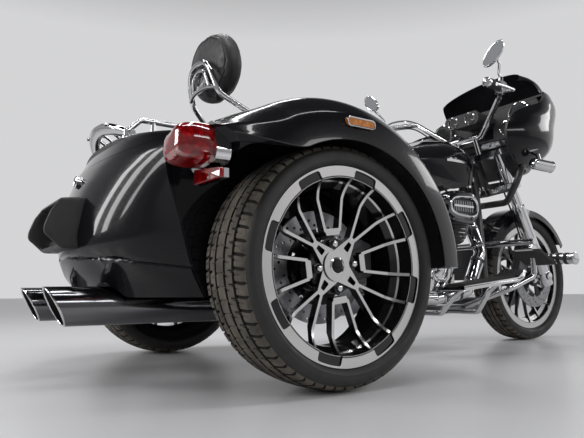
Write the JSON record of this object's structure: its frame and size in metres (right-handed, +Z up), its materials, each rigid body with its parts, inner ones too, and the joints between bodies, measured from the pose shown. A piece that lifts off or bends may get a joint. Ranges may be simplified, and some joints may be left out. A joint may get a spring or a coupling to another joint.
{
  "type": "motorized trike",
  "caption": "Touring trike with a steered front wheel, an open V-twin engine, a hollow trunk with a hinged lid between wide rear fenders, a nose fairing and a padded backrest.",
  "frame": {"origin": "on the floor under the middle of the machine's box", "axes": "+X forward, +Y to the rider's left, +Z up"},
  "size_m": [2.595, 1.38, 1.35],
  "materials": {
    "gloss_black": "deep gloss black paint",
    "frame_black": "semi-gloss black powder coat",
    "trim_black": "satin black plastic",
    "engine_black": "black wrinkle coat with bare fin edges",
    "chrome": "polished chrome",
    "dark_chrome": "dark polished chrome",
    "caliper_metal": "satin black",
    "disc_steel": "ground steel",
    "tyre_rubber": "matt rubber, a little dusty",
    "grip_rubber": "matt rubber",
    "cut_alloy": "black paint with bright machined faces",
    "seat_leather": "soft-grained black vinyl",
    "red_lens": "clear red moulded lens",
    "amber_lens": "clear amber moulded lens",
    "clear_lens": "clear lens",
    "smoked_screen": "dark smoked screen"
  },
  "bodies": {
    "chassis": {"frame_backbone": "frame_black", "frame_cradle": "frame_black", "crankcase": "engine_black", "cylinders": "engine_black", "rocker_covers": "chrome", "engine_covers": "chrome", "pushrod_tubes": "chrome", "air_cleaner": "chrome", "exhaust_headers": "chrome", "mufflers": "dark_chrome", "oil_cooler": "frame_black", "swing_arm": "frame_black", "shocks": "frame_black", "rear_axle": "frame_black", "rear_calipers": "caliper_metal", "body_tub": "gloss_black", "lid_hinges": "frame_black", "trunk_lock": "chrome", "fender_left": "gloss_black", "fender_right": "gloss_black", "tail_lamps": "red_lens", "lamp_bezels": "chrome", "amber_markers": "amber_lens", "plate_housing": "trim_black", "fuel_tank": "gloss_black", "tank_console": "chrome", "seat": "seat_leather", "backrest_pad": "seat_leather", "sissy_bar": "chrome", "side_covers": "gloss_black", "fairing_outer": "gloss_black", "fairing_inner": "trim_black", "headlamps": "clear_lens", "windshield": "smoked_screen", "front_signals": "chrome", "engine_guard": "frame_black", "floorboards": "chrome", "foot_controls": "chrome", "highway_pegs": "chrome"},
    "steering": {"fork": "chrome", "handlebar": "chrome", "grips": "grip_rubber", "hand_controls": "chrome", "mirrors": "chrome", "front_fender": "gloss_black", "front_calipers": "caliper_metal"},
    "front_wheel": {"front_tyre": "tyre_rubber", "front_rim": "cut_alloy", "front_discs": "disc_steel"},
    "rear_wheel_right": {"right_tyre": "tyre_rubber", "right_rim": "cut_alloy", "right_disc": "disc_steel"},
    "rear_wheel_left": {"left_tyre": "tyre_rubber", "left_rim": "cut_alloy", "left_disc": "disc_steel"},
    "trunk_lid": {"trunk_lid": "gloss_black", "luggage_rack": "chrome"}
  },
  "joints": [
    {"name": "steering", "type": "hinge", "parent": "chassis", "child": "steering", "pos_m": [1.0885, 0, 0], "axis": [-0.4384, 0, 0.8988], "range_deg": [-35, 35]},
    {"name": "front_wheel_spin", "type": "hinge", "parent": "steering", "child": "front_wheel", "pos_m": [0.9885, 0, 0.309], "axis": [0, 1, 0], "continuous": true},
    {"name": "rear_right_spin", "type": "hinge", "parent": "chassis", "child": "rear_wheel_right", "pos_m": [-0.6815, -0.556, 0.309], "axis": [0, 1, 0], "continuous": true},
    {"name": "rear_left_spin", "type": "hinge", "parent": "chassis", "child": "rear_wheel_left", "pos_m": [-0.6815, 0.556, 0.309], "axis": [0, 1, 0], "continuous": true},
    {"name": "trunk_lid", "type": "hinge", "parent": "chassis", "child": "trunk_lid", "pos_m": [-0.7575, 0, 0.718], "axis": [0, 1, 0], "range_deg": [0, 50]}
  ]
}
